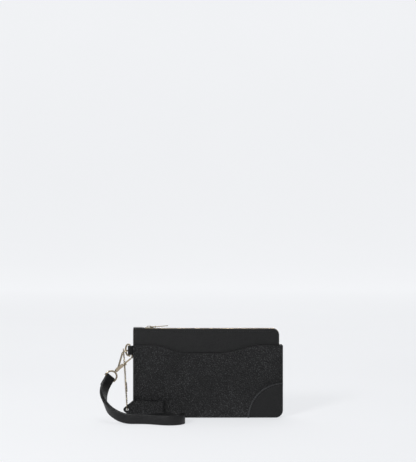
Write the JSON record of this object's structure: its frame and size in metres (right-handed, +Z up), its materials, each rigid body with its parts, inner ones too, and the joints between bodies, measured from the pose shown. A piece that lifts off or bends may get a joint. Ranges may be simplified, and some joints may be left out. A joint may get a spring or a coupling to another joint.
{
  "type": "zippered pouch",
  "caption": "Flat leather pouch with an L-shaped metal zip, a dipped front pocket, a clip-on wrist strap on a snap hook and a leather tag on a ball chain.",
  "frame": {"origin": "middle of the base's flat underside, below the pouch's middle", "axes": "+X to the right along the zip, +Y from the front pocket to the back, +Z up to the zip"},
  "size_m": [0.2443, 0.0756, 0.1225],
  "materials": {
    "smooth_leather": "smooth black leather with a soft sheen",
    "grain_leather": "pebbled black leather",
    "lining_cloth": "plain woven lining",
    "zip_tape": "woven black tape",
    "pale_metal": "polished pale gold plating"
  },
  "bodies": {
    "pouch": {"front_panel": "smooth_leather", "back_panel": "smooth_leather", "gusset_band": "smooth_leather", "corner_patch": "smooth_leather", "pocket_panel": "grain_leather", "lining_front": "lining_cloth", "lining_back": "lining_cloth", "zip_tape_front": "zip_tape", "zip_tape_back": "zip_tape", "zip_teeth_front": "pale_metal", "zip_teeth_back": "pale_metal", "zip_top_stops": "pale_metal", "zip_bottom_stop": "pale_metal", "zip_end_tab": "smooth_leather", "ring_tab": "smooth_leather"},
    "slider": {"slider_body": "pale_metal"},
    "pull_link": {"pull_link": "pale_metal"},
    "pull": {"pull_tab": "pale_metal"},
    "ring": {"d_ring": "pale_metal"},
    "hook": {"hook_body": "pale_metal", "gate_pin": "pale_metal", "gate_spring": "pale_metal"},
    "gate": {"hook_gate": "pale_metal"},
    "swivel": {"swivel_eye": "pale_metal"},
    "strap": {"wrist_strap": "smooth_leather"},
    "chain": {"ball_chain": "pale_metal", "chain_connector": "pale_metal"},
    "tag": {"tag_front": "smooth_leather", "tag_back": "smooth_leather"}
  },
  "joints": [
    {"name": "slider_travel", "type": "slide", "parent": "pouch", "child": "slider", "axis": [1, 0, 0], "range_m": [0, 0.15]},
    {"name": "pull_link_swing", "type": "hinge", "parent": "slider", "child": "pull_link", "pos_m": [-0.0772, 0, 0.1205], "axis": [0, -1, 0], "range_deg": [0, 120]},
    {"name": "pull_tab_swing", "type": "hinge", "parent": "pull_link", "child": "pull", "pos_m": [-0.0706, 0, 0.1206], "axis": [0, -1, 0], "range_deg": [0, 50]},
    {"name": "d_ring_swing", "type": "hinge", "parent": "pouch", "child": "ring", "pos_m": [-0.1052, 0, 0.089], "axis": [0, 0, -1], "range_deg": [-3, 18]},
    {"name": "hook_swing", "type": "hinge", "parent": "pouch", "child": "hook", "pos_m": [-0.109, 0.0043, 0.081], "axis": [-1, 0, 0], "range_deg": [0, 12]},
    {"name": "gate_swing", "type": "hinge", "parent": "hook", "child": "gate", "pos_m": [-0.116, 0.0043, 0.0676], "axis": [0, -1, 0], "range_deg": [0, 10], "stiffness_Nm_per_rad": 0.002},
    {"name": "swivel_turn", "type": "hinge", "parent": "hook", "child": "swivel", "pos_m": [-0.1213, 0.0043, 0.0633], "axis": [-0.6752, 0, -0.7377], "range_deg": [0, 170]},
    {"name": "strap_swing", "type": "hinge", "parent": "swivel", "child": "strap", "pos_m": [-0.13224, 0.0043, 0.05135], "axis": [-0.7054, -0.2927, 0.6456], "range_deg": [0, 30]},
    {"name": "chain_swing", "type": "hinge", "parent": "hook", "child": "chain", "pos_m": [-0.1135, 0.0043, 0.0864], "axis": [0, -1, 0], "range_deg": [0, 5]},
    {"name": "tag_turn", "type": "hinge", "parent": "chain", "child": "tag", "pos_m": [-0.1073, -0.0129, 0.0118], "axis": [0, -1, 0], "range_deg": [0, 30]}
  ]
}
